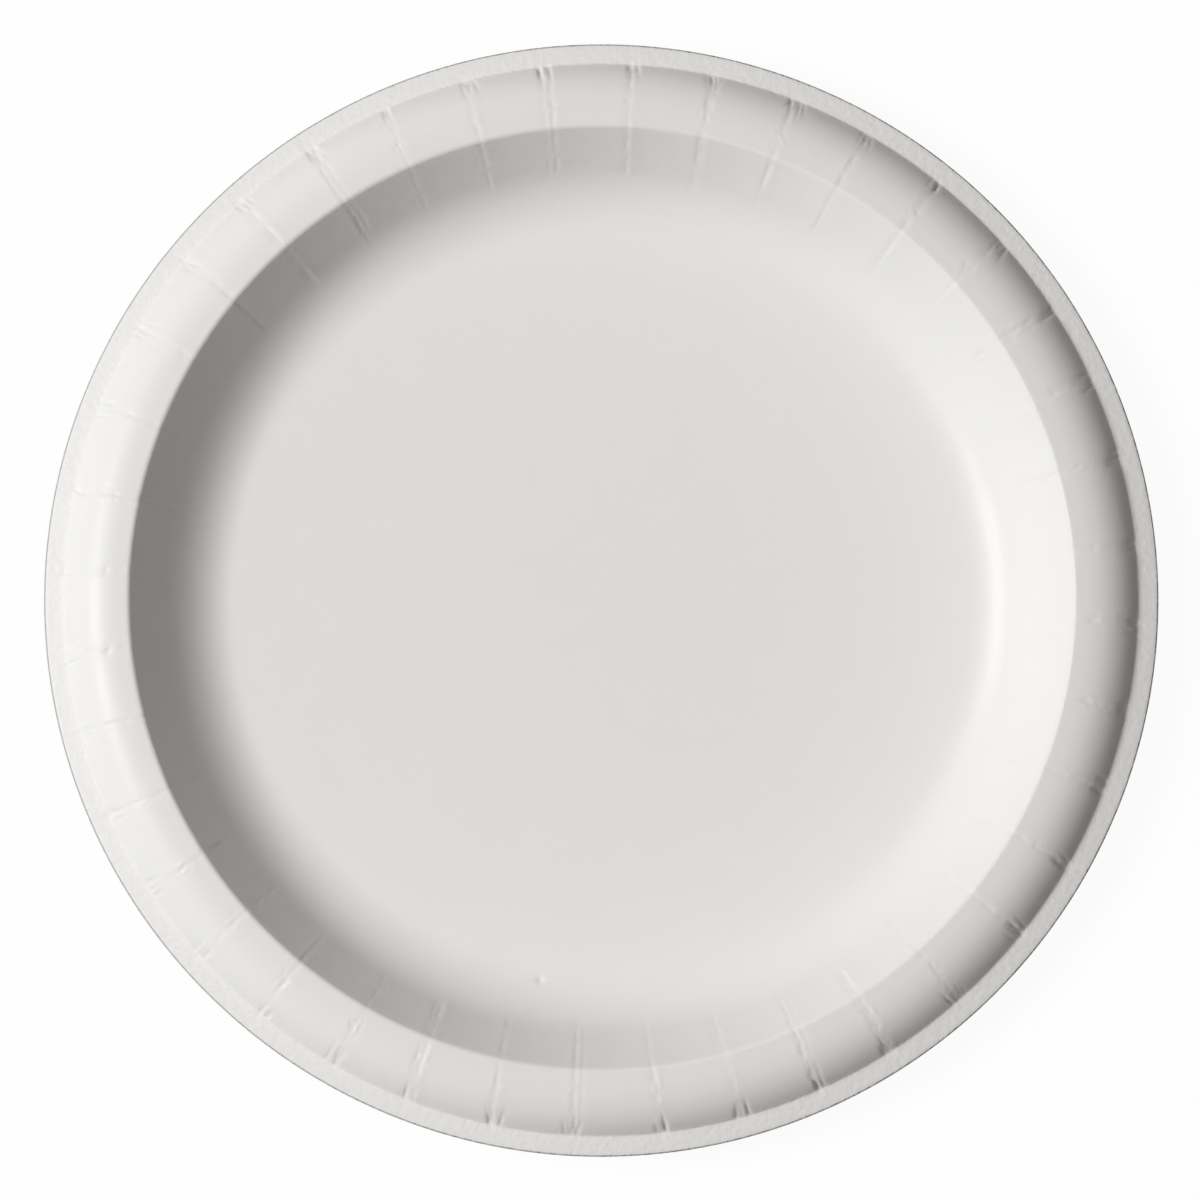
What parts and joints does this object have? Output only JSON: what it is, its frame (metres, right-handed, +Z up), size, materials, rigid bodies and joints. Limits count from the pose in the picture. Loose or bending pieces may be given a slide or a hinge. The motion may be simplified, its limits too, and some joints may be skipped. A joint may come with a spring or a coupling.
{
  "type": "paper plate",
  "caption": "Round white disposable paperboard plate with a flat floor, a creased sloping wall and a rolled rim ending in a narrow lip.",
  "frame": {"origin": "middle of the underside of the floor, on the surface that the plate stands on", "axes": "+Z up along the plate's axis; +X and +Y lie in the surface that it stands on, with the first crease 5.9 degrees from +X towards +Y"},
  "size_m": [0.2286, 0.2286, 0.0181],
  "materials": {
    "white_paperboard": "clay-coated white paperboard, smooth with a faint sheen above and uncoated beneath"
  },
  "bodies": {
    "root": {"plate": "white_paperboard"}
  },
  "joints": []
}
